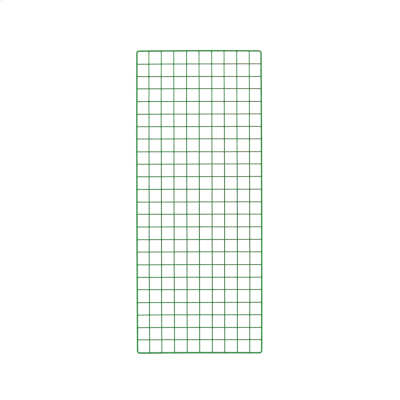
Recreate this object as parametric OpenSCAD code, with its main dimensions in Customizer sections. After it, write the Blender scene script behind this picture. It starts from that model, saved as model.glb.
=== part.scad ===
// Welded wire mesh panel for a livestock pen, plastic coated.
//
// One border rod is bent into a closed rectangle with rounded corners. Upright wires run
// from its bottom rail to its top rail in the back layer, and cross wires run from side to
// side in the front layer. Every crossing is a resistance weld, where the two wires are
// pressed a little way into each other, and every wire end is butt welded to the border rod.
//
// The panel stands up: X is its width, Z its height, and Y its depth with the front at -Y.
// The origin is at the middle of the border rod's bottom line. All sizes are over the coat.

/* [Panel] */
// Width over the border rod, outside to outside
panel_w = 500; // [300:5:900]
// Height over the border rod, outside to outside
panel_h = 1208; // [700:1:2000]

/* [Border rod] */
// Thickness of the border rod
rod_d = 5; // [4:0.5:10]
// Radius of the four corner bends, at the rod's centre line
bend_r = 9; // [6:0.5:16]

/* [Mesh wires] */
// Thickness of every mesh wire
wire_d = 3; // [2:0.25:4]
// Number of upright wires between the two side rails
upright_count = 9; // [2:1:17]
// Number of cross wires between the bottom rail and the top rail
cross_count = 23; // [2:1:41]
// From a side rail's centre to the nearest upright wire's centre
side_gap = 47.5; // [20:0.5:100]
// From the top or bottom rail's centre to the nearest cross wire's centre
end_gap = 51.5; // [20:0.5:100]

/* [Welds] */
// How far two crossing wires are pressed into each other
set_down = 0.5; // [0.1:0.1:1]
// How far a wire's end passes the inner edge of the rod it is welded to
end_lap = 0.75; // [0.25:0.25:1.5]

/* [Colours] */
// Coat on the border rod
rod_colour = [0.13, 0.47, 0.20];
// Coat on the mesh wires
wire_colour = [0.18, 0.42, 0.22];

/* [Hidden] */
$fn = 64;
rod_r = rod_d / 2;

// The border rod's centre line is a rectangle of this width and height. Its places are kept
// to a hundredth of a millimetre, so that the straight rails and the bends meet exactly.
function to_hundredth(size) = round(100 * size) / 100;
centre_w = to_hundredth(panel_w - rod_d);
centre_h = to_hundredth(panel_h - rod_d);
corner_r = to_hundredth(bend_r);
side_x = centre_w / 2;
bottom_z = to_hundredth(rod_r);
top_z = bottom_z + centre_h;

// The two layers of wires lie this far behind and in front of the border rod's mid-plane
layer_y = (wire_d - set_down) / 2;

// Wires are spread evenly between the outermost two
upright_pitch = (centre_w - 2 * side_gap) / (upright_count - 1);
cross_pitch = (centre_h - 2 * end_gap) / (cross_count - 1);
function upright_x(i) = -side_x + side_gap + (i - 1) * upright_pitch;
function cross_z(i) = bottom_z + end_gap + (i - 1) * cross_pitch;

// A wire's end stops this far short of the centre line of the rod it is welded to
end_trim = rod_r - end_lap;
upright_len = centre_h - 2 * end_trim;
cross_len = centre_w - 2 * end_trim;

// Node names: uprights are numbered from -X to +X, cross wires from the bottom up
function upright_name(i) = str("upright_wire_", i);
function cross_name(i) = str("cross_wire_", i);

// A straight round bar along X, its middle at the origin
module bar_x(length, diameter) {
    rotate([0, 90, 0])
        cylinder(h = length, d = diameter, center = true);
}

// The straight lengths of the rod between its bends, at the sides, and at top and bottom
module side_rails() {
    for (side = [-1, 1])
        translate([side * side_x, 0, bottom_z + corner_r])
            cylinder(h = centre_h - 2 * corner_r, d = rod_d);
}

module end_rails() {
    for (z = [bottom_z, top_z])
        translate([0, 0, z])
            bar_x(centre_w - 2 * corner_r, rod_d);
}

// One quarter turn of the rod. At turn 0 it joins the right side rail to the top rail.
module corner_bend(turn) {
    rotate([0, -turn, 0])
        rotate([90, 0, 0])
            rotate_extrude(angle = 90)
                translate([corner_r, 0])
                    circle(d = rod_d);
}

module corner_bends() {
    bend_x = side_x - corner_r;
    translate([bend_x, 0, top_z - corner_r])
        corner_bend(0);
    translate([-bend_x, 0, top_z - corner_r])
        corner_bend(90);
    translate([-bend_x, 0, bottom_z + corner_r])
        corner_bend(180);
    translate([bend_x, 0, bottom_z + corner_r])
        corner_bend(270);
}

// The closed border: four straight rails joined by four bends
module border_rod() {
    color(rod_colour)
        union() {
            side_rails();
            end_rails();
            corner_bends();
        }
}

// The solid wire of an upright before its ends are shaped
module upright_bar(i) {
    translate([upright_x(i), layer_y, bottom_z + end_trim])
        cylinder(h = upright_len, d = wire_d);
}

// An upright wire, its two ends hollowed to seat on the bottom and top rails
module upright_wire(i) {
    color(wire_colour)
        difference() {
            upright_bar(i);
            end_rails();
        }
}

// A cross wire, its ends hollowed to seat on the side rails and its back face dented
// where it is pressed onto each upright
module cross_wire(i) {
    color(wire_colour)
        difference() {
            translate([0, -layer_y, cross_z(i)])
                bar_x(cross_len, wire_d);
            side_rails();
            for (k = [1:upright_count])
                upright_bar(k);
        }
}

border_rod();
for (i = [1:upright_count])
    upright_wire(i);
for (i = [1:cross_count])
    cross_wire(i);
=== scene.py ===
"""Looks of a plastic-coated welded mesh pen panel, drawn round its fixed CAD frame.

The panel is a border rod bent into a loop, upright wires in the back layer, cross wires in
the front layer, and the green coat that was dipped over all of them. Every rod and wire is a
fine mesh in the place of its CAD node. The coat fills the crooks at the welds with small
webs. All sizes are in metres.
"""

import logging
import math
from collections.abc import Callable
from dataclasses import dataclass, field
from enum import Enum
from typing import Any

import bmesh
import bpy
import numpy as np
from bmesh.types import BMesh, BMVert
from bpy.types import Material, Mesh, Node, NodeInputs, NodeSocket, NodeTree, Object
from mathutils import Matrix, Vector

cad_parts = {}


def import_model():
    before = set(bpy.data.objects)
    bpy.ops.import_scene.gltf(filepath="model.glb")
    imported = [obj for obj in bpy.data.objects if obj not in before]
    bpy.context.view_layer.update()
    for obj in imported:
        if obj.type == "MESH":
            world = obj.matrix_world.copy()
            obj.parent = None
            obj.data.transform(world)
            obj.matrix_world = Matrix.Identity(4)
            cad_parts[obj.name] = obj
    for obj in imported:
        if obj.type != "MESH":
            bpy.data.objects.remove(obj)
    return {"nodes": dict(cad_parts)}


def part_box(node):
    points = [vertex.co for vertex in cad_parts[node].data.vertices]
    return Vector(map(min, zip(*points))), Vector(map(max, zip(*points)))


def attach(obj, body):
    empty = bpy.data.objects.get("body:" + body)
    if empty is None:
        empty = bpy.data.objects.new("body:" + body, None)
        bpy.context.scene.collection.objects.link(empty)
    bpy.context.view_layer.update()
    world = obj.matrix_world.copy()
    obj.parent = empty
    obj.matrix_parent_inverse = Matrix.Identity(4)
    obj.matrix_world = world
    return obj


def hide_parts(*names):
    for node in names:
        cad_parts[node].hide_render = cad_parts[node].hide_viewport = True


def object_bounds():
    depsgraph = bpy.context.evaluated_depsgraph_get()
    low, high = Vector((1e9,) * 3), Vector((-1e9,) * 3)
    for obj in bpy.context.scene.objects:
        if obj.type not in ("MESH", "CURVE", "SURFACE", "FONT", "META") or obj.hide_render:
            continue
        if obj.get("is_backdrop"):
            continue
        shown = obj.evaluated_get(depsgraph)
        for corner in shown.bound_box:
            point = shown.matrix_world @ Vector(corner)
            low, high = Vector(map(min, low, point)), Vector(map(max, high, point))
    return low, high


frame: dict[str, Any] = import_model()
CAD_BOX: tuple[Vector, Vector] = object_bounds()

LOG = logging.getLogger("mesh_panel")
BODY = "root"
ROD_NODE = "border_rod"
MM = 0.001

# Names of the values that the meshes carry from one step to the next
SWELL = "swell"
CROOK = "crook"
TURN = "turn"

Points = np.ndarray
Colour = tuple[float, float, float]


# ------------ node drawing


class NodeSheet:
    """A node tree being drawn, with short calls that add its nodes and join them."""

    def __init__(self, tree: NodeTree) -> None:
        """Starts on a shader tree or a geometry tree."""
        self.tree = tree

    def add(self, kind: str, inputs: dict[str, Any] | None = None, **settings: Any) -> Node:
        """Adds a node.

        Args:
            kind: Blender's name for the node's type.
            inputs: input name to an output socket or a plain value.
            settings: the node's own properties.

        Returns:
            The new node.
        """
        node = self.tree.nodes.new(kind)
        for name, value in settings.items():
            setattr(node, name, value)
        for name, value in (inputs or {}).items():
            self.feed(node.inputs[name], value)
        return node

    def take(
        self, output: str, kind: str, inputs: dict[str, Any] | None = None, **settings: Any
    ) -> NodeSocket:
        """Adds a node as add does, and gives the output of this name."""
        return self.add(kind, inputs, **settings).outputs[output]

    def feed(self, socket: NodeSocket, value: Any) -> None:
        """Joins another node's output to an input, or sets the input's own value.

        Args:
            socket: the input.
            value: an output socket, or a plain value.
        """
        if isinstance(value, NodeSocket):
            self.tree.links.new(value, socket)
        else:
            socket.default_value = value

    def math(self, operation: str, *values: Any) -> NodeSocket:
        """Adds a Math node.

        Args:
            operation: Blender's name for the sum.
            values: sockets or numbers for the inputs in order.

        Returns:
            The result.
        """
        node = self.add("ShaderNodeMath", operation=operation)
        for socket, value in zip(node.inputs, values):
            self.feed(socket, value)
        return node.outputs["Value"]

    def times(self, first: Any, *others: Any) -> NodeSocket:
        """Multiplies masks with each other.

        Args:
            first: a mask.
            others: more masks or numbers.

        Returns:
            The product.
        """
        for other in others:
            first = self.math("MULTIPLY", first, other)
        return first

    def between(self, mask: Any, low: float, high: float) -> NodeSocket:
        """Turns a mask's 0..1 into low..high."""
        return self.math("MULTIPLY_ADD", mask, high - low, low)

    def stretch(self, value: Any, low: float, high: float) -> NodeSocket:
        """Stretches the part of a value between low and high to 0..1, with soft ends.

        Args:
            value: the value's socket.
            low: what becomes 0.
            high: what becomes 1. It may be the smaller of the two.

        Returns:
            The mask.
        """
        span = {"Value": value, "From Min": low, "From Max": high}
        return self.take("Result", "ShaderNodeMapRange", span, interpolation_type="SMOOTHSTEP")

    def noise(self, vector: Any, scale: Any, detail: float) -> NodeSocket:
        """Adds a noise texture.

        Args:
            vector: where it is read.
            scale: grains per metre.
            detail: how many finer layers it has.

        Returns:
            A value of about 0.5 that wanders between 0 and 1.
        """
        look = {"Vector": vector, "Scale": scale, "Detail": detail}
        return self.take("Fac", "ShaderNodeTexNoise", look, noise_dimensions="3D")

    def axis(self, vector: Any, name: str) -> NodeSocket:
        """Takes the X, Y or Z of a vector."""
        return self.take(name, "ShaderNodeSeparateXYZ", {"Vector": vector})

    def blend(self, mask: Any, under: Any, over: Any) -> NodeSocket:
        """Lays one colour over another through a mask.

        Args:
            mask: 0 shows the colour under, 1 the colour over.
            under: a colour or its socket.
            over: a colour or its socket.

        Returns:
            The blended colour.
        """
        node = self.add("ShaderNodeMix", {"Factor": mask}, data_type="RGBA")
        colours = [s for s in node.inputs if s.type == "RGBA"]
        self.feed(colours[0], under)
        self.feed(colours[1], over)
        return next(s for s in node.outputs if s.type == "RGBA")


def new_group(
    kind: str, name: str, inputs: dict[str, tuple[str, Any]], outputs: dict[str, str]
) -> tuple[NodeSheet, NodeInputs, Node]:
    """Starts a node group with named inputs and outputs.

    Args:
        kind: "ShaderNodeTree" or "GeometryNodeTree".
        name: the group's name.
        inputs: socket name to the end of its type's name, and its default or None.
        outputs: socket name to the end of its type's name.

    Returns:
        The sheet, the sockets that give the inputs, and the node that takes the outputs.
    """
    tree = bpy.data.node_groups.new(name, kind)
    ends = [(label, "INPUT", *given) for label, given in inputs.items()]
    ends += [(label, "OUTPUT", taken, None) for label, taken in outputs.items()]
    for label, way, stem, default in ends:
        made = tree.interface.new_socket(
            name=label, in_out=way, socket_type=f"NodeSocket{stem}"
        )
        if default is not None:
            made.default_value = default
    sheet = NodeSheet(tree)
    return sheet, sheet.add("NodeGroupInput").outputs, sheet.add("NodeGroupOutput")


# ------------ finishes


@dataclass(frozen=True)
class Grain:
    """A noise pattern whose middle values are stretched to a mask."""

    scale: float
    detail: float
    low: float
    high: float

    def draw(self, sheet: NodeSheet, place: NodeSocket) -> NodeSocket:
        """Draws the pattern on a sheet as a mask that is read at this place."""
        return sheet.stretch(sheet.noise(place, self.scale, self.detail), self.low, self.high)


class CoatEffects:
    """The surface effects that the coats share, each drawn once as a node group.

    Every mask group reads a place, and gives its mask as strong as its Amount says.
    """

    # Patterns, with their scales in grains per metre
    weather_patches = Grain(16.0, 2.0, 0.36, 0.66)
    weather_speckles = Grain(220.0, 4.0, 0.30, 0.72)
    dust_and_reflection_patches = Grain(11.0, 3.0, 0.26, 0.54)
    dust_and_reflection_specks = Grain(650.0, 4.0, 0.30, 0.62)
    mid_band_patches = Grain(9.0, 3.0, 0.25, 0.50)
    pool_specks = Grain(700.0, 4.0, 0.34, 0.62)
    rub_patches = Grain(34.0, 5.0, 0.52, 0.66)
    rub_scratches = Grain(900.0, 3.0, 0.40, 0.62)

    # Where an effect fades in: parts of the normal, and places on the panel in metres
    facing_up = (-0.05, 0.40)
    facing_out = (0.80, 0.99)
    towards_right = (-0.08, 0.20)
    towards_top = (-0.10, 1.30)
    # The next two are where the darker band at mid-height fades in from below and fades out
    # towards the top.
    band_rise = (-0.25, 0.45)
    band_fall = (1.15, 0.60)

    # How strong an effect is where its mask is 0 and where it is 1
    # The next two spread the painted reflection in the yard dirt towards the right and the top.
    reflection_across = (0.12, 1.0)
    reflection_up = (0.30, 1.80)
    dust_and_reflection_cover = (0.55, 1.0)
    mid_band_cover = (0.75, 1.0)
    pool_cover = (0.70, 1.0)
    patch_share = 0.65

    # Noises of the coat's height, as grains per metre and finer layers
    peel_noise = (1100.0, 1.5)
    sag_noise = (240.0, 1.0)
    sag_height = 2.2

    def __init__(self) -> None:
        """Draws the six groups."""
        crook = {"Crook": ("Float", 0.0)}
        turned = {"Normal": ("Vector", None)}
        self.mottle = self._draw_mask("coat_mottle", {}, self._mottle)
        self.mid_band = self._draw_mask("flank_grease", {}, self._mid_band)
        self.rub = self._draw_mask("stacking_rub", turned, self._rub)
        self.pool = self._draw_mask("pooled_coat", crook, self._pool)
        self.dust_and_reflection = self._draw_mask("yard_dust", turned, self._dust_and_reflection)
        self.peel = self._draw_peel()

    @staticmethod
    def _draw_mask(
        name: str,
        reads: dict[str, tuple[str, Any]],
        shape: Callable[[NodeSheet, NodeInputs], NodeSocket],
    ) -> NodeTree:
        """Draws an effect as a group that puts out its mask.

        Args:
            name: the group's name.
            reads: what the effect reads besides its place, as new_group takes it.
            shape: draws the mask at full strength, from the sheet and the given inputs.

        Returns:
            The group.
        """
        inputs = {"Vector": ("Vector", None), **reads, "Amount": ("Float", 1.0)}
        sheet, given, result = new_group("ShaderNodeTree", name, inputs, {"Mask": "Float"})
        mask = sheet.times(shape(sheet, given), given["Amount"])
        sheet.feed(result.inputs["Mask"], sheet.math("MINIMUM", mask, 1.0))
        return sheet.tree

    def _mottle(self, sheet: NodeSheet, given: NodeInputs) -> NodeSocket:
        """Broad patches where the dip coat lies thicker or has weathered, and fine speckles.

        Args:
            sheet: where it is drawn.
            given: the group's inputs.

        Returns:
            The mask at full strength.
        """
        patches = self.weather_patches.draw(sheet, given["Vector"])
        speckles = self.weather_speckles.draw(sheet, given["Vector"])
        fine = sheet.times(speckles, 1 - self.patch_share)
        return sheet.math("MULTIPLY_ADD", patches, self.patch_share, fine)

    def _mid_band(self, sheet: NodeSheet, given: NodeInputs) -> NodeSocket:
        """Darkens the coat in a band at mid-height, strongest about half a metre up and fading
        towards the top and the bottom.

        Args:
            sheet: where it is drawn.
            given: the group's inputs.

        Returns:
            The mask at full strength.
        """
        height = sheet.axis(given["Vector"], "Z")
        above = sheet.stretch(height, *self.band_rise)
        below = sheet.stretch(height, *self.band_fall)
        patches = self.mid_band_patches.draw(sheet, given["Vector"])
        return sheet.times(above, below, sheet.between(patches, *self.mid_band_cover))

    def _rub(self, sheet: NodeSheet, given: NodeInputs) -> NodeSocket:
        """Dull rubs along the front and back lines, where stacked panels slide on each other.

        Args:
            sheet: where it is drawn.
            given: the group's inputs.

        Returns:
            The mask at full strength.
        """
        depth = sheet.math("ABSOLUTE", sheet.axis(given["Normal"], "Y"))
        patches = self.rub_patches.draw(sheet, given["Vector"])
        scratches = self.rub_scratches.draw(sheet, given["Vector"])
        return sheet.times(sheet.stretch(depth, *self.facing_out), patches, scratches)

    def _pool(self, sheet: NodeSheet, given: NodeInputs) -> NodeSocket:
        """Coat that pooled thick at the welds, where it keeps its full green."""
        specks = self.pool_specks.draw(sheet, given["Vector"])
        return sheet.times(sheet.between(specks, *self.pool_cover), given["Crook"])

    def _dust_and_reflection(self, sheet: NodeSheet, given: NodeInputs) -> NodeSocket:
        """Yard dirt on whatever faces up, greyer towards the panel's top right corner, where it
        is a painted reflection of a bright light.

        Args:
            sheet: where it is drawn.
            given: the group's inputs.

        Returns:
            The mask at full strength.
        """
        place = given["Vector"]
        upward = sheet.stretch(sheet.axis(given["Normal"], "Z"), *self.facing_up)
        across = sheet.stretch(sheet.axis(place, "X"), *self.towards_right)
        up = sheet.stretch(sheet.axis(place, "Z"), *self.towards_top)
        reflection_drift = sheet.times(
            sheet.between(across, *self.reflection_across), sheet.between(up, *self.reflection_up)
        )
        patches = self.dust_and_reflection_patches.draw(sheet, place)
        specks = self.dust_and_reflection_specks.draw(sheet, place)
        return sheet.times(upward, reflection_drift, patches, sheet.between(specks, *self.dust_and_reflection_cover))

    def _draw_peel(self) -> NodeTree:
        """Draws the soft orange peel and slow sags of a thick dip coat, as a height.

        Returns:
            The group.
        """
        sheet, given, result = new_group(
            "ShaderNodeTree", "coat_peel", {"Vector": ("Vector", None)}, {"Height": "Float"}
        )
        peel = sheet.noise(given["Vector"], *self.peel_noise)
        sag = sheet.noise(given["Vector"], *self.sag_noise)
        height = sheet.math("MULTIPLY_ADD", sag, self.sag_height, peel)
        sheet.feed(result.inputs["Height"], height)
        return sheet.tree


@dataclass(frozen=True)
class DipCoat:
    """One green plastic dip coat, as it looks on one kind of wire.

    The roughenings are what its layers add to its roughness, from the coat itself outwards.
    """

    name: str
    slot: str
    green: Colour
    weathered: Colour
    pooled: Colour = (0.008, 0.300, 0.054)
    rubbed: Colour = (0.110, 0.270, 0.130)
    # Greyish brown of the yard dirt, which towards the top right is a painted reflection of a
    # bright light.
    dust_and_reflection: Colour = (0.195, 0.145, 0.108)
    # Darker green of the band at mid-height.
    mid_band: Colour = (0.006, 0.090, 0.020)
    pool_amount: float = 0.9
    rub_amount: float = 0.40
    dust_and_reflection_amount: float = 0.4
    mid_band_amount: float = 0.0
    roughness: float = 0.23
    roughenings: tuple[float, ...] = (0.10, 0.0, 0.30, -0.06, 0.50)
    refraction: float = 1.48
    bump_strength: float = 0.5
    bump_depth: float = 0.13 * MM

    def material(self, effects: CoatEffects) -> Material:
        """Draws the coat's material.

        Args:
            effects: the shared node groups.

        Returns:
            The material.
        """
        made = bpy.data.materials.new(self.name)
        made.use_nodes = True
        made.node_tree.nodes.clear()
        made.diffuse_color = (*self.green, 1.0)
        sheet = NodeSheet(made.node_tree)
        place = {"Vector": sheet.take("Object", "ShaderNodeTexCoord")}
        facing = {"Normal": sheet.take("Normal", "ShaderNodeNewGeometry")}
        crook = {"Crook": sheet.take("Fac", "ShaderNodeAttribute", attribute_name=CROOK)}

        # Each layer's group, what it reads and its colour
        layers = (
            (effects.mottle, {}, self.weathered),
            (effects.mid_band, {"Amount": self.mid_band_amount}, self.mid_band),
            (effects.rub, facing | {"Amount": self.rub_amount}, self.rubbed),
            (effects.pool, crook | {"Amount": self.pool_amount}, self.pooled),
            (effects.dust_and_reflection, facing | {"Amount": self.dust_and_reflection_amount}, self.dust_and_reflection),
        )
        colour: Any = (*self.green, 1.0)
        dull: Any = self.roughness
        for (group, reads, tint), roughening in zip(layers, self.roughenings):
            mask = sheet.take("Mask", "ShaderNodeGroup", place | reads, node_tree=group)
            colour = sheet.blend(mask, colour, (*tint, 1.0))
            dull = sheet.math("MULTIPLY_ADD", mask, roughening, dull)
        peel = sheet.take("Height", "ShaderNodeGroup", place, node_tree=effects.peel)
        bump = {"Strength": self.bump_strength, "Distance": self.bump_depth, "Height": peel}
        plastic = {
            "Base Color": colour,
            "Roughness": dull,
            "IOR": self.refraction,
            "Normal": sheet.take("Normal", "ShaderNodeBump", bump),
        }
        surface = sheet.take("BSDF", "ShaderNodeBsdfPrincipled", plastic)
        sheet.add("ShaderNodeOutputMaterial", {"Surface": surface})
        return made


# ------------ geometry trees


def read_value(sheet: NodeSheet, name: str, kind: str) -> NodeSocket:
    """Reads a value that the geometry's points carry."""
    asked = {"Name": name}
    return sheet.take("Attribute", "GeometryNodeInputNamedAttribute", asked, data_type=kind)


def draw_wire_tree() -> NodeTree:
    """Draws the tree that turns a wire's centre line into its coated surface.

    The line's points carry SWELL, the coat's extra thickness there.

    Returns:
        The tree, with inputs for the wire's radius, sides, ripple and coat.
    """
    sheet, given, result = new_group(
        "GeometryNodeTree",
        "coated_wire",
        {
            "Centre line": ("Geometry", None),
            "Radius": ("Float", 1.5 * MM),
            "Sides": ("Int", 16),
            "Ripple": ("Float", 0.04 * MM),
            "Ripple scale": ("Float", 120.0),
            "Coat": ("Material", None),
        },
        {"Geometry": "Geometry"},
    )
    line = sheet.take("Curve", "GeometryNodeMeshToCurve", {"Mesh": given["Centre line"]})
    profile = {"Radius": 1.0, "Resolution": given["Sides"]}
    swell = read_value(sheet, SWELL, "FLOAT")
    sweep = {
        "Curve": line,
        "Profile Curve": sheet.take("Curve", "GeometryNodeCurvePrimitiveCircle", profile),
        "Scale": sheet.math("ADD", given["Radius"], swell),
        "Fill Caps": True,
    }
    tube = sheet.take("Mesh", "GeometryNodeCurveToMesh", sweep)
    place = sheet.take("Position", "GeometryNodeInputPosition")
    wander = sheet.between(sheet.noise(place, given["Ripple scale"], detail=1.0), -1.0, 1.0)
    outward = {
        "Vector": sheet.take("Normal", "GeometryNodeInputNormal"),
        "Scale": sheet.times(wander, given["Ripple"]),
    }
    ripple = {
        "Geometry": tube,
        "Offset": sheet.take("Vector", "ShaderNodeVectorMath", outward, operation="SCALE"),
    }
    rippled = sheet.take("Geometry", "GeometryNodeSetPosition", ripple)
    finish_tree(sheet, rippled, given["Coat"], result)
    return sheet.tree


def draw_repeat_tree() -> NodeTree:
    """Draws the tree that sets one of three small shapes of coat at every place.

    The points carry TURN, the way each shape faces.

    Returns:
        The tree, with inputs for the three shapes, the seed of their choice and the coat.
    """
    sheet, given, result = new_group(
        "GeometryNodeTree",
        "coat_details",
        {
            "Places": ("Geometry", None),
            "Small shape": ("Object", None),
            "Middle shape": ("Object", None),
            "Large shape": ("Object", None),
            "Seed": ("Int", 0),
            "Coat": ("Material", None),
        },
        {"Geometry": "Geometry"},
    )
    shapes = sheet.add("GeometryNodeJoinGeometry")
    for name in ("Large shape", "Middle shape", "Small shape"):
        shape = sheet.take("Geometry", "GeometryNodeObjectInfo", {"Object": given[name]})
        single = sheet.take("Instances", "GeometryNodeGeometryToInstance", {"Geometry": shape})
        sheet.feed(shapes.inputs["Geometry"], single)
    turn = read_value(sheet, TURN, "FLOAT_VECTOR")
    choice = sheet.add("FunctionNodeRandomValue", {"Seed": given["Seed"]}, data_type="INT")
    low, high = [s for s in choice.inputs if s.type == "INT" and s.name in ("Min", "Max")]
    low.default_value, high.default_value = 0, 2
    setting = {
        "Points": sheet.take("Points", "GeometryNodeMeshToPoints", {"Mesh": given["Places"]}),
        "Instance": shapes.outputs["Geometry"],
        "Pick Instance": True,
        "Instance Index": next(s for s in choice.outputs if s.type == "INT"),
        "Rotation": sheet.take("Rotation", "FunctionNodeEulerToRotation", {"Euler": turn}),
    }
    placed = sheet.take("Instances", "GeometryNodeInstanceOnPoints", setting)
    finish_tree(sheet, placed, given["Coat"], result)
    return sheet.tree


def finish_tree(sheet: NodeSheet, shape: NodeSocket, coat: NodeSocket, result: Node) -> None:
    """Ends a tree: real mesh, smooth shading, and the coat on it.

    Args:
        sheet: the tree's sheet.
        shape: the geometry so far.
        coat: the material.
        result: the group's output node.
    """
    for kind in ("GeometryNodeRealizeInstances", "GeometryNodeSetShadeSmooth"):
        shape = sheet.take("Geometry", kind, {"Geometry": shape})
    paint = {"Geometry": shape, "Material": coat}
    coated = sheet.take("Geometry", "GeometryNodeSetMaterial", paint)
    sheet.feed(result.inputs["Geometry"], coated)


def settle(piece: Object, tree: NodeTree, values: dict[str, Any]) -> None:
    """Runs a geometry tree on a piece once and keeps the result as its plain mesh.

    Args:
        piece: the object that holds the tree's starting geometry.
        tree: the geometry tree.
        values: input name to value.
    """
    modifier = piece.modifiers.new(tree.name, "NODES")
    modifier.node_group = tree
    for item in tree.interface.items_tree:
        if item.item_type == "SOCKET" and item.in_out == "INPUT" and item.name in values:
            modifier[item.identifier] = values[item.name]
    bpy.context.view_layer.update()
    graph = bpy.context.evaluated_depsgraph_get()
    mesh = bpy.data.meshes.new_from_object(
        piece.evaluated_get(graph), preserve_all_data_layers=True, depsgraph=graph
    )
    piece.modifiers.remove(modifier)
    start, piece.data = piece.data, mesh
    mesh.name = piece.name
    bpy.data.meshes.remove(start)


# ------------ the panel's plan


class Lay(Enum):
    """Which way a mesh wire runs. The value is the stem of its CAD nodes' names."""

    UPRIGHT = "upright_wire"
    CROSS = "cross_wire"


# The seeds of the wires' straying are numbered on from these
WAVER_SEEDS: dict[Lay, int] = {Lay.UPRIGHT: 100, Lay.CROSS: 500}


class Rail(Enum):
    """A side of the border rod. The value is the way that a wire leaves it, as (x, z)."""

    LEFT = (1, 0)
    RIGHT = (-1, 0)
    BOTTOM = (0, 1)
    TOP = (0, -1)

    def turn(self) -> tuple[float, float, float]:
        """How a web made for the left rail turns to fit this one.

        Returns:
            The turn as XYZ angles.
        """
        x, z = self.value
        flip = 1 if x else -1
        away = Vector((x, 0, z))
        across = Vector((0, flip, 0))
        columns = (away, across, away.cross(across))
        return tuple(Matrix(columns).transposed().to_euler())


@dataclass(frozen=True)
class Plan:
    """Where the CAD frame puts the rod and the wires, and how a real panel strays from it."""

    rod_radius: float
    wire_radius: float
    left: float
    right: float
    bottom: float
    top: float
    layer: float
    upright_x: tuple[float, ...]
    cross_z: tuple[float, ...]
    side_bow: float = 1.3 * MM
    corner_pinch: float = 0.5 * MM
    end_arch: float = 1.0 * MM
    top_slack: float = 1.2 * MM
    arch_fade: int = 8

    @classmethod
    def from_frame(cls) -> "Plan":
        """Reads the plan from the CAD nodes' boxes.

        Returns:
            The plan.
        """
        low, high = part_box(ROD_NODE)
        rod_radius = round((high.y - low.y) / 2, 4)
        uprights = [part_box(name) for name in numbered(Lay.UPRIGHT)]
        crosses = [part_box(name) for name in numbered(Lay.CROSS)]
        wire_radius = round((uprights[0][1].x - uprights[0][0].x) / 2, 4)
        return cls(
            rod_radius=rod_radius,
            wire_radius=wire_radius,
            left=low.x + rod_radius,
            right=high.x - rod_radius,
            bottom=low.z + rod_radius,
            top=high.z - rod_radius,
            layer=uprights[0][0].y + wire_radius,
            upright_x=tuple((a.x + b.x) / 2 for a, b in uprights),
            cross_z=tuple((a.z + b.z) / 2 for a, b in crosses),
        )

    def eased(self, points: Points) -> Points:
        """Springs points a little off their places, as a long loop of rod does by itself.

        The sides bow out between the corners. The top and bottom rails arch up a little, so
        that the panel stands on its two lower corners, and the top rail sits slightly low.

        Args:
            points: places on the square panel, one row each.

        Returns:
            The same places on the sprung panel.
        """
        across = (points[:, 0] - self.left) / (self.right - self.left)
        up = (points[:, 2] - self.bottom) / (self.top - self.bottom)
        bow = self.side_bow * np.sin(np.pi * up.clip(0, 1)) - self.corner_pinch
        arch = self.end_arch * np.abs(2 * up - 1).clip(0, 1) ** self.arch_fade
        slack = self.top_slack * up.clip(0, 1) ** self.arch_fade
        moved = points.copy()
        moved[:, 0] += bow * (2 * across - 1)
        moved[:, 2] += arch * np.sin(np.pi * across.clip(0, 1)) - slack
        return moved

    def uprights_at(self, height: float) -> Points:
        """Where the upright wires stand at one height."""
        return real_places(Lay.UPRIGHT, self.upright_x, height)

    def crosses_at(self, across: float) -> Points:
        """How high the cross wires lie at one place across the panel."""
        return real_places(Lay.CROSS, self.cross_z, across)


def numbered(lay: Lay) -> list[str]:
    """Lists the CAD nodes of the wires that run one way, in their order."""
    names = [name for name in frame["nodes"] if name.startswith(lay.value)]
    return sorted(names, key=lambda name: int(name.rsplit("_", 1)[1]))


def spaced(start: float, end: float, step: float) -> Points:
    """Evenly spaced places from start to end, no further apart than step."""
    return np.linspace(start, end, math.ceil(abs(end - start) / step) + 1)


def soft_peaks(along: Points, centres: Points, before: float, after: float) -> Points:
    """Smooth peaks of height 1 at some places along a line.

    Args:
        along: where the peaks are read.
        centres: where they stand.
        before: their reach on the near side.
        after: their reach on the far side.

    Returns:
        The height of the highest peak at each place.
    """
    gap = along[:, None] - np.asarray(centres)[None, :]
    reach = np.where(gap < 0, before, after)
    return np.exp(-((gap / reach) ** 2)).max(axis=1)


@dataclass(frozen=True)
class Waver:
    """How a welded wire strays: a little off its pitch, and never quite straight.

    Its waves have these lengths. Each next one is lower, and none is below its least share.
    """

    seed: int
    pitch_error: float = 0.8 * MM
    height: float = 0.45 * MM
    lengths: tuple[float, ...] = (0.83, 0.37, 0.17)
    least_share: float = 0.5

    @classmethod
    def of(cls, lay: Lay, number: int) -> "Waver":
        """The straying of one mesh wire, which is its own and always the same."""
        return cls(WAVER_SEEDS[lay] + number)

    def at(self, along: Points) -> Points:
        """How far the wire strays at each place along it.

        Args:
            along: places along the wire.

        Returns:
            The strays.
        """
        draw = np.random.default_rng(self.seed)
        offset = draw.uniform(-self.pitch_error, self.pitch_error)
        total = np.zeros(len(along))
        for rank, length in enumerate(self.lengths, start=1):
            phase = draw.uniform(0, 2 * np.pi)
            share = draw.uniform(self.least_share, 1.0) / rank
            total += share * np.sin(2 * np.pi * along / length + phase)
        whole = sum(1 / rank for rank in range(1, len(self.lengths) + 1))
        return offset + self.height * total / whole


def real_places(lay: Lay, places: tuple[float, ...], along: float) -> Points:
    """Where the wires of one layer really lie.

    Args:
        lay: which layer.
        places: the wires' nominal places.
        along: how far along the wires it is read.

    Returns:
        The wires' real places there.
    """
    here = np.array([along])
    return np.array([p + Waver.of(lay, i).at(here)[0] for i, p in enumerate(places, 1)])


# ------------ pieces


def neighbours(ring: Any) -> list[tuple[int, int]]:
    """Lists the number of each place in a ring with the number of the place after it."""
    return [(k, (k + 1) % len(ring)) for k in range(len(ring))]


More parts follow.
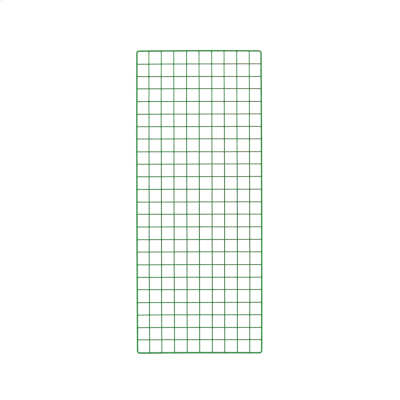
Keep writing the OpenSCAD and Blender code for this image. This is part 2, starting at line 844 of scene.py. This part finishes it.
def new_object(name: str, data: Any) -> Object:
    """Puts a new object in the scene.

    Args:
        name: the object's name.
        data: its mesh, light or camera.

    Returns:
        The object.
    """
    made = bpy.data.objects.new(name, data)
    bpy.context.scene.collection.objects.link(made)
    return made


def mark(mesh: Mesh, name: str, numbers: Points) -> None:
    """Stores a value for each point of a mesh.

    Args:
        mesh: the mesh.
        name: the value's name.
        numbers: one number or one vector for each point.
    """
    kind, part = ("FLOAT", "value") if numbers.ndim == 1 else ("FLOAT_VECTOR", "vector")
    store = mesh.attributes.new(name, kind, "POINT")
    store.data.foreach_set(part, numbers.astype(np.float32).ravel())


def new_line(name: str, points: Points, values: dict[str, Points], closed: bool) -> Object:
    """Makes an object of one line of points.

    Args:
        name: the piece's name.
        points: the line's points in order.
        values: value's name to one number or one vector for each point.
        closed: whether the last point joins the first.

    Returns:
        The object, in the scene.
    """
    edges = neighbours(points) if closed else neighbours(points)[:-1]
    mesh = bpy.data.meshes.new(name)
    mesh.from_pydata(points.tolist(), edges, [])
    for value_name, numbers in values.items():
        mark(mesh, value_name, numbers)
    return new_object(name, mesh)


def keep_shape(name: str, made: BMesh, crook: float) -> Object:
    """Turns a small closed shape's faces outwards and makes it an object.

    Args:
        name: the object's name.
        made: the shape, which is freed.
        crook: how deep in a crook the whole shape lies, from 0 to 1.

    Returns:
        The object, in the scene.
    """
    bmesh.ops.recalc_face_normals(made, faces=made.faces)
    mesh = bpy.data.meshes.new(name)
    made.to_mesh(mesh)
    made.free()
    mark(mesh, CROOK, np.full(len(mesh.vertices), crook))
    return new_object(name, mesh)


def join_rows(made: BMesh, rows: list[list[BMVert]]) -> None:
    """Makes faces between each ring of points and the next.

    Args:
        made: the shape that the points are in.
        rows: the rings in order.
    """
    for row, after in zip(rows, rows[1:]):
        for k, n in neighbours(row):
            made.faces.new((row[k], row[n], after[n], after[k]))


def dress(piece: Object) -> None:
    """Joins a finished piece to the panel's body and logs it.

    Args:
        piece: the finished piece.
    """
    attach(piece, BODY)
    LOG.info("%s: %d faces", piece.name, len(piece.data.polygons))


@dataclass
class Workshop:
    """The trees and coats that every piece is made with."""

    wire_tree: NodeTree = field(default_factory=draw_wire_tree)
    repeat_tree: NodeTree = field(default_factory=draw_repeat_tree)
    effects: CoatEffects = field(default_factory=CoatEffects)

    def __post_init__(self) -> None:
        """Mixes the three coats."""
        self.border_coat = DipCoat(
            name="border_dip_coat",
            slot="border_coat",
            green=(0.036, 0.270, 0.078),
            weathered=(0.046, 0.245, 0.082),
            pooled=(0.026, 0.285, 0.072),
        )
        self.upright_coat = DipCoat(
            name="upright_dip_coat",
            slot="wire_coat",
            green=(0.014, 0.245, 0.046),
            weathered=(0.030, 0.220, 0.056),
            # Only the uprights are darker in the band at mid-height.
            mid_band_amount=0.60,
        )
        self.cross_coat = DipCoat(
            name="cross_dip_coat",
            slot="wire_coat",
            green=(0.014, 0.205, 0.042),
            weathered=(0.030, 0.185, 0.050),
            # The cross wires carry the yard dirt and its painted reflection at full strength.
            dust_and_reflection_amount=1.0,
        )
        coats = (self.border_coat, self.upright_coat, self.cross_coat)
        self.paint = {coat.name: coat.material(self.effects) for coat in coats}

    def wrap(self, node: str, line: Object, values: dict[str, Any], coat: DipCoat) -> None:
        """Turns a centre line into the coated wire that stands for a CAD node.

        Args:
            node: the CAD node's name.
            line: the object of the centre line, which becomes the piece.
            values: the wire's radius, sides and ripple, as the wire tree names them.
            coat: the coat on it.
        """
        settle(line, self.wire_tree, values | {"Coat": self.paint[coat.name]})
        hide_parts(node)
        dress(line)

    def repeat(
        self,
        name: str,
        places: Points,
        turns: Points,
        shapes: list[Object],
        seed: int,
        coat: DipCoat,
    ) -> None:
        """Sets one of three shapes at every place, and keeps them as one piece.

        Args:
            name: the piece's name.
            places: where the shapes go.
            turns: the way each faces.
            shapes: the small, middle and large shape, which are removed afterwards.
            seed: the seed of the choice among them.
            coat: the coat that they are made of.
        """
        piece = new_line(name, places, {TURN: turns}, False)
        values = dict(zip(("Small shape", "Middle shape", "Large shape"), shapes))
        values |= {"Seed": seed, "Coat": self.paint[coat.name]}
        settle(piece, self.repeat_tree, values)
        for shape in shapes:
            mesh = shape.data
            bpy.data.objects.remove(shape)
            bpy.data.meshes.remove(mesh)
        dress(piece)


@dataclass
class BorderRod:
    """The thick rod bent into a closed loop round the mesh."""

    plan: Plan
    workshop: Workshop
    bend_radius: float = 9.0 * MM
    sides: int = 32
    step: float = 3.0 * MM
    bend_steps: int = 20
    ripple: float = 0.03 * MM
    joint_swell: float = 0.10 * MM
    joint_reach: float = 3.5 * MM
    closing_weld_x: float = 25.0 * MM
    closing_swell: float = 0.25 * MM
    closing_reach: float = 2.6 * MM

    def centre_line(self) -> Points:
        """The loop's centre line, from the bottom rail round to the left rail.

        Returns:
            Its points, once round.
        """
        plan, bend = self.plan, self.bend_radius
        corners = (
            (plan.right - bend, plan.bottom + bend, -90),
            (plan.right - bend, plan.top - bend, 0),
            (plan.left + bend, plan.top - bend, 90),
            (plan.left + bend, plan.bottom + bend, 180),
        )
        loop: list[Points] = []
        for (x, z, start), (next_x, next_z, _) in zip(corners, corners[1:] + corners[:1]):
            angles = np.radians(np.linspace(start, start + 90, self.bend_steps + 1))
            arc = np.stack([x + bend * np.cos(angles), z + bend * np.sin(angles)], axis=1)
            leave = np.array([next_x - x, next_z - z])
            share = spaced(0, 1, self.step / np.linalg.norm(leave))[1:-1]
            loop += [arc, arc[-1] + share[:, None] * leave]
        flat = np.concatenate(loop)
        return np.stack([flat[:, 0], np.zeros(len(flat)), flat[:, 1]], axis=1)

    def swell(self, line: Points) -> tuple[Points, Points]:
        """The coat's extra thickness along the loop, and how near it is to a weld.

        Args:
            line: the loop's centre line.

        Returns:
            The extra thickness and the nearness at each point.
        """
        plan, reach = self.plan, self.joint_reach
        x, z = line[:, 0], line[:, 2]
        rails = [(x, z, level, plan.uprights_at(level)) for level in (plan.bottom, plan.top)]
        rails += [(z, x, side, plan.crosses_at(side)) for side in (plan.left, plan.right)]
        near = np.zeros(len(line))
        for along, off, rail, wires in rails:
            peaks = soft_peaks(along, wires, reach, reach)
            near = np.where(np.isclose(off, rail), peaks, near)
        closing = soft_peaks(x, [self.closing_weld_x], self.closing_reach, self.closing_reach)
        closing = np.where(np.isclose(z, plan.bottom), closing, 0.0)
        return self.joint_swell * near + self.closing_swell * closing, near

    def build(self) -> None:
        """Builds the loop in place of its CAD node."""
        line = self.centre_line()
        swell, near = self.swell(line)
        loop = new_line(
            f"coated_{ROD_NODE}", self.plan.eased(line), {SWELL: swell, CROOK: near}, True
        )
        values = {"Radius": self.plan.rod_radius, "Sides": self.sides, "Ripple": self.ripple}
        self.workshop.wrap(ROD_NODE, loop, values, self.workshop.border_coat)


@dataclass
class MeshWire:
    """One upright wire or cross wire, from rail to rail."""

    plan: Plan
    workshop: Workshop
    lay: Lay
    number: int
    sides: int = 24
    step: float = 3.0 * MM
    ripple: float = 0.02 * MM
    end_depth: float = 1.9 * MM
    end_layer: float = 0.9 * MM
    pull_in: float = 9.0 * MM
    joint_swell: float = 0.09 * MM
    pooled_reach: float = 6.0 * MM
    drained_reach: float = 2.6 * MM
    crook_reach: float = 2.8 * MM

    def place(self) -> float:
        """Looks up the wire's nominal place.

        Returns:
            How far across the panel an upright stands, or how high a cross wire lies.
        """
        if self.lay is Lay.UPRIGHT:
            return self.plan.upright_x[self.number - 1]
        return self.plan.cross_z[self.number - 1]

    def joints(self) -> Points:
        """Finds where the wire meets rails and other wires.

        Returns:
            The places along the wire, from end to end.
        """
        plan = self.plan
        if self.lay is Lay.UPRIGHT:
            return np.array([plan.bottom, *plan.crosses_at(self.place()), plan.top])
        return np.array([plan.left, *plan.uprights_at(self.place()), plan.right])

    def centre_line(self, along: Points) -> Points:
        """The wire's centre line.

        Args:
            along: places along the wire, in the panel's own axis.

        Returns:
            The points there, with the wire's wandering and its pulled-in ends.
        """
        first, *_, last = self.joints()
        inside = (np.minimum(along - first, last - along) / self.pull_in).clip(0, 1)
        eased = inside**2 * (3 - 2 * inside)
        depth = self.end_layer + (self.plan.layer - self.end_layer) * eased
        place = self.place() + Waver.of(self.lay, self.number).at(along)
        if self.lay is Lay.UPRIGHT:
            points = np.stack([place, depth, along], axis=1)
        else:
            points = np.stack([along, -depth, place], axis=1)
        return self.plan.eased(points)

    def build(self) -> None:
        """Builds the wire in place of its CAD node."""
        joints = self.joints()
        inset = self.plan.rod_radius - self.end_depth
        along = spaced(joints[0] + inset, joints[-1] - inset, self.step)
        upright = self.lay is Lay.UPRIGHT
        pooled = self.pooled_reach if upright else self.drained_reach
        coat = self.workshop.upright_coat if upright else self.workshop.cross_coat
        peaks = soft_peaks(along, joints, self.drained_reach, pooled)
        near = soft_peaks(along, joints, self.crook_reach, self.crook_reach)
        node = f"{self.lay.value}_{self.number}"
        marks = {SWELL: self.joint_swell * peaks, CROOK: near}
        line = new_line(f"coated_{node}", self.centre_line(along), marks, False)
        values = {"Radius": self.plan.wire_radius, "Sides": self.sides, "Ripple": self.ripple}
        self.workshop.wrap(node, line, values, coat)


@dataclass
class WireGrid:
    """All the mesh wires."""

    plan: Plan
    workshop: Workshop

    def __post_init__(self) -> None:
        """Lists the wires of both layers."""
        self.wires = [
            MeshWire(self.plan, self.workshop, lay, number)
            for lay in Lay
            for number in range(1, len(numbered(lay)) + 1)
        ]

    def build(self) -> None:
        """Builds every wire."""
        for wire in self.wires:
            wire.build()

    def crossings(self) -> Points:
        """Where the wires cross, on the panel's mid-plane.

        Returns:
            One point for each pair of wires.
        """
        plan = self.plan
        x_there = np.array([plan.uprights_at(z) for z in plan.cross_z])
        z_there = np.array([plan.crosses_at(x) for x in plan.upright_x]).T
        found = np.stack([x_there, np.zeros_like(x_there), z_there], axis=2)
        return plan.eased(found.reshape(-1, 3))

    def rail_joints(self) -> tuple[Points, Points]:
        """Where the wires end on the border rod's centre line, and how each end faces.

        Returns:
            One point, and one turn, for each wire end.
        """
        plan, found, turns = self.plan, [], []
        for rail, z in ((Rail.BOTTOM, plan.bottom), (Rail.TOP, plan.top)):
            found += [(x, 0.0, z) for x in plan.uprights_at(z)]
            turns += [rail.turn()] * len(plan.upright_x)
        for rail, x in ((Rail.LEFT, plan.left), (Rail.RIGHT, plan.right)):
            found += [(x, 0.0, z) for z in plan.crosses_at(x)]
            turns += [rail.turn()] * len(plan.cross_z)
        return plan.eased(np.array(found)), np.array(turns)


@dataclass(frozen=True)
class RollingBall:
    """A web of coat in the crook round a weld: the hollow left by a ball rolled round it.

    Each web is a closed ring. Its face is the ball's own curve from one rod to the other, and
    its back lies inside the two rods.
    """

    ball: float
    around: int = 20
    across: int = 2
    sink: float = 0.045 * MM
    root: float = 1.0 * MM
    crook: float = 0.9

    def section(self, centre: Points, first: Points, second: Points) -> list[Points]:
        """One section of the ring.

        Args:
            centre: the ball's centre.
            first: the nearest point of one rod's centre line.
            second: the nearest point of the other's.

        Returns:
            The section's points, across the face and then at the back.
        """
        one = (first - centre) / np.linalg.norm(first - centre)
        two = (second - centre) / np.linalg.norm(second - centre)
        angle = math.acos(float(np.clip(one @ two, -1, 1)))
        shares = np.linspace(0, 1, self.across + 1)
        face = [
            centre
            + self.ball * (math.sin((1 - s) * angle) * one + math.sin(s * angle) * two)
            / math.sin(angle)
            for s in shares
        ]
        inward = (one + two) / np.linalg.norm(one + two)
        return [*face, centre + (self.ball + self.root) * inward]

    def crossing(self, radius: float, layer: float) -> Object:
        """The web round two crossing wires, uprights behind and cross wires in front.

        Args:
            radius: the coated wires' radius there.
            layer: each wire's distance from the mid-plane.

        Returns:
            The web, as an object to repeat.
        """
        reach = radius - self.sink + self.ball
        sections = []
        for angle in self.angles():
            y = -(reach - layer) * math.cos(2 * angle)
            x = math.copysign(math.sqrt(max(reach**2 - (y - layer) ** 2, 0)), math.sin(angle))
            z = math.copysign(math.sqrt(max(reach**2 - (y + layer) ** 2, 0)), math.cos(angle))
            centre, upright, cross = np.array([(x, y, z), (0, layer, z), (x, -layer, 0)])
            sections.append(self.section(centre, upright, cross))
        return self.close("crossing_web", sections)

    def rail_joint(self, rod: float, wire: float, layer: float) -> Object:
        """The web round a wire's end on the left rail.

        Args:
            rod: the coated border rod's radius there.
            wire: the coated wire's radius there.
            layer: the wire's distance in front of the rod's mid-plane.

        Returns:
            The web, as an object to repeat.
        """
        to_rod = rod - self.sink + self.ball
        to_wire = wire - self.sink + self.ball
        sections = []
        for angle in self.angles():
            y = -layer + to_wire * math.cos(angle)
            z = to_wire * math.sin(angle)
            x = math.sqrt(max(to_rod**2 - y**2, 0))
            centre, rail, end = np.array([(x, y, z), (0, 0, z), (x, -layer, 0)])
            sections.append(self.section(centre, rail, end))
        return self.close("rail_web", sections)

    def angles(self) -> Points:
        """Where the sections stand round the weld."""
        return np.linspace(0, 2 * np.pi, self.around, endpoint=False)

    def close(self, name: str, sections: list[list[Points]]) -> Object:
        """Joins sections into a closed ring whose face ends in two crisp rims.

        Args:
            name: the object's name.
            sections: the ring's sections in order.

        Returns:
            The object, in the scene.
        """
        made = bmesh.new()
        rows = [[made.verts.new(tuple(p)) for p in section] for section in sections]
        join_rows(made, rows + rows[:1])
        for k, n in neighbours(rows):
            for rim in (0, self.across):
                made.edges.get((rows[k][rim], rows[n][rim])).smooth = False
        return keep_shape(name, made, self.crook)


@dataclass
class WeldWebs:
    """The coat's webs at every crossing and at every wire's end."""

    grid: WireGrid
    workshop: Workshop
    balls: tuple[float, float, float] = (0.75 * MM, 0.95 * MM, 1.2 * MM)
    seed: int = 7

    def build(self) -> None:
        """Builds both sets of webs."""
        plan, wire, shop = self.grid.plan, self.grid.wires[0], self.workshop
        radius = plan.wire_radius + wire.joint_swell
        rod = plan.rod_radius + wire.joint_swell
        balls = [RollingBall(ball) for ball in self.balls]
        places = self.grid.crossings()
        webs = [ball.crossing(radius, plan.layer) for ball in balls]
        turns = np.zeros_like(places)
        shop.repeat("crossing_weld_webs", places, turns, webs, self.seed, shop.cross_coat)
        places, turns = self.grid.rail_joints()
        webs = [ball.rail_joint(rod, radius, wire.end_layer) for ball in balls]
        shop.repeat("rail_weld_webs", places, turns, webs, self.seed, shop.border_coat)


@dataclass(frozen=True)
class CoatRun:
    """A run of wet coat that sagged down the front of an upright and set below a cross wire."""

    length: float
    proud: float = 0.38 * MM
    root: float = 0.55 * MM
    half_width: float = 1.05 * MM
    start: float = 1.0 * MM
    droop: float = 1.7
    around: int = 8
    along: int = 6
    crook: float = 0.0

    def shape(self, radius: float, layer: float) -> Object:
        """The run below a crossing at the origin, fuller towards its lower end.

        Args:
            radius: the coated upright's radius.
            layer: the upright's distance behind the mid-plane.

        Returns:
            The run, as an object to repeat.
        """
        made = bmesh.new()
        depth = layer - radius + self.root
        angles = np.linspace(0, 2 * np.pi, self.around, endpoint=False)
        rings = []
        for share in np.linspace(0, 1, self.along + 2)[1:-1]:
            full = math.sqrt(math.sin(math.pi * share**self.droop))
            x = self.half_width * full * np.cos(angles)
            y = depth - (self.root + self.proud) * full * np.sin(angles)
            z = -self.start - share * self.length
            rings.append([made.verts.new((a, b, z)) for a, b in zip(x, y)])
        head = made.verts.new((0, depth, -self.start))
        foot = made.verts.new((0, depth, -self.start - self.length))
        join_rows(made, rings)
        for k, n in neighbours(rings[0]):
            made.faces.new((head, rings[0][n], rings[0][k]))
            made.faces.new((foot, rings[-1][k], rings[-1][n]))
        return keep_shape("coat_run", made, self.crook)


@dataclass
class CoatRuns:
    """The few runs that the coat left below the crossings."""

    grid: WireGrid
    workshop: Workshop
    lengths: tuple[float, float, float] = (5.0 * MM, 7.5 * MM, 11.0 * MM)
    share: float = 0.24
    seed: int = 11

    def build(self) -> None:
        """Builds the runs as one piece."""
        plan = self.grid.plan
        crossings = self.grid.crossings()
        chosen = np.random.default_rng(self.seed).random(len(crossings)) < self.share
        places = crossings[chosen]
        runs = [CoatRun(length).shape(plan.wire_radius, plan.layer) for length in self.lengths]
        shop = self.workshop
        shop.repeat(
            "coat_runs", places, np.zeros_like(places), runs, self.seed, shop.upright_coat
        )


# ------------ studio


def grey(shade: float) -> tuple[float, float, float, float]:
    """An even grey as a colour."""
    return (shade, shade, shade, 1.0)


@dataclass(frozen=True)
class Softbox:
    """A far, wide light that shines evenly over the whole floor."""

    name: str
    strength: float
    azimuth: float
    elevation: float
    width: float

    def on_floor(self) -> float:
        """How bright it makes a white floor."""
        return self.strength * math.sin(math.radians(self.elevation)) / math.pi

    def hang(self) -> None:
        """Puts the light in the scene."""
        light = bpy.data.lights.new(self.name, "SUN")
        light.energy = self.strength
        light.angle = math.radians(self.width)
        turn, lift = math.radians(self.azimuth), math.radians(self.elevation)
        towards = Vector(
            (math.sin(turn) * math.cos(lift), -math.cos(turn) * math.cos(lift), math.sin(lift))
        )
        holder = new_object(self.name, light)
        holder.rotation_euler = towards.to_track_quat("Z", "Y").to_euler()


@dataclass(frozen=True)
class Studio:
    """A plain white studio: floor, sky, soft lights and a far camera."""

    softboxes: tuple[Softbox, ...] = (
        Softbox("key_softbox", 2.0, -30.0, 28.0, 22.0),
        Softbox("fill_softbox", 1.2, 45.0, 18.0, 50.0),
        Softbox("back_softbox", 0.4, 165.0, 50.0, 60.0),
    )
    sky: float = 1.6
    mirrored_sky: float = 0.3
    floor_width: float = 80.0
    floor_glow: float = 0.65
    white: float = 1.02
    floor_drop: float = 0.05 * MM
    camera_distance: float = 10.0
    camera_sensor: float = 0.036
    view_width: float = 1.5924
    view_rise: float = 7.1 * MM
    view_shift: float = 2.8 * MM
    view_roll: float = 0.134
    gamma: float = 0.47

    def build(self) -> None:
        """Builds the whole studio."""
        self.lay_floor()
        self.light()
        self.set_camera()

    def lay_floor(self) -> None:
        """Lays a light table of a floor, as white all over as the sky behind the panel."""
        half = self.floor_width / 2
        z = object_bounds()[0].z - self.floor_drop
        corners = [(-half, -half, z), (half, -half, z), (half, half, z), (-half, half, z)]
        mesh = bpy.data.meshes.new("studio_floor")
        mesh.from_pydata(corners, [], [(0, 1, 2, 3)])
        paint = bpy.data.materials.new("floor_paint")
        paint.use_nodes = True
        lit = self.sky + sum(box.on_floor() for box in self.softboxes)
        shade = (1 - self.floor_glow) * self.white / lit
        looks = {
            "Base Color": grey(shade),
            "Emission Color": grey(1.0),
            "Emission Strength": self.floor_glow * self.white,
            "Roughness": 1.0,
            "Specular IOR Level": 0.0,
        }
        for name, value in looks.items():
            paint.node_tree.nodes["Principled BSDF"].inputs[name].default_value = value
        mesh.materials.append(paint)
        floor = new_object("studio_floor", mesh)
        floor.visible_glossy = False
        floor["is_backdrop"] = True

    def light(self) -> None:
        """Hangs the lights and sets the white sky behind them."""
        for box in self.softboxes:
            box.hang()
        world = bpy.data.worlds.new("studio_sky")
        world.use_nodes = True
        world.node_tree.nodes.clear()
        sheet = NodeSheet(world.node_tree)
        path = sheet.add("ShaderNodeLightPath").outputs
        sky = sheet.blend(path["Is Glossy Ray"], grey(self.sky), grey(self.mirrored_sky))
        sky = sheet.blend(path["Is Camera Ray"], sky, grey(self.white))
        backdrop = sheet.add("ShaderNodeBackground", {"Color": sky})
        sheet.add("ShaderNodeOutputWorld", {"Surface": backdrop.outputs["Background"]})
        scene = bpy.context.scene
        scene.world = world
        scene.view_settings.view_transform = "Standard"
        scene.view_settings.look = "None"
        scene.view_settings.gamma = self.gamma

    def set_camera(self) -> None:
        """Sets a long lens level with the panel's middle, straight in front of it."""
        low, high = CAD_BOX
        lens = bpy.data.cameras.new("front_camera")
        lens.sensor_width = self.camera_sensor / MM
        lens.lens = lens.sensor_width * self.camera_distance / self.view_width
        lens.clip_end = 2 * self.floor_width
        camera = new_object("front_camera", lens)
        x, _, z = (low + high) / 2
        camera.location = (x + self.view_shift, -self.camera_distance, z + self.view_rise)
        camera.rotation_euler = (math.radians(90), math.radians(self.view_roll), 0)
        bpy.context.scene.camera = camera


def main() -> None:
    """Builds the panel and the studio round it."""
    logging.basicConfig(level=logging.INFO, format="%(name)s %(message)s")
    plan = Plan.from_frame()
    workshop = Workshop()
    BorderRod(plan, workshop).build()
    grid = WireGrid(plan, workshop)
    grid.build()
    WeldWebs(grid, workshop).build()
    CoatRuns(grid, workshop).build()
    Studio().build()


if __name__ == "__main__":
    main()
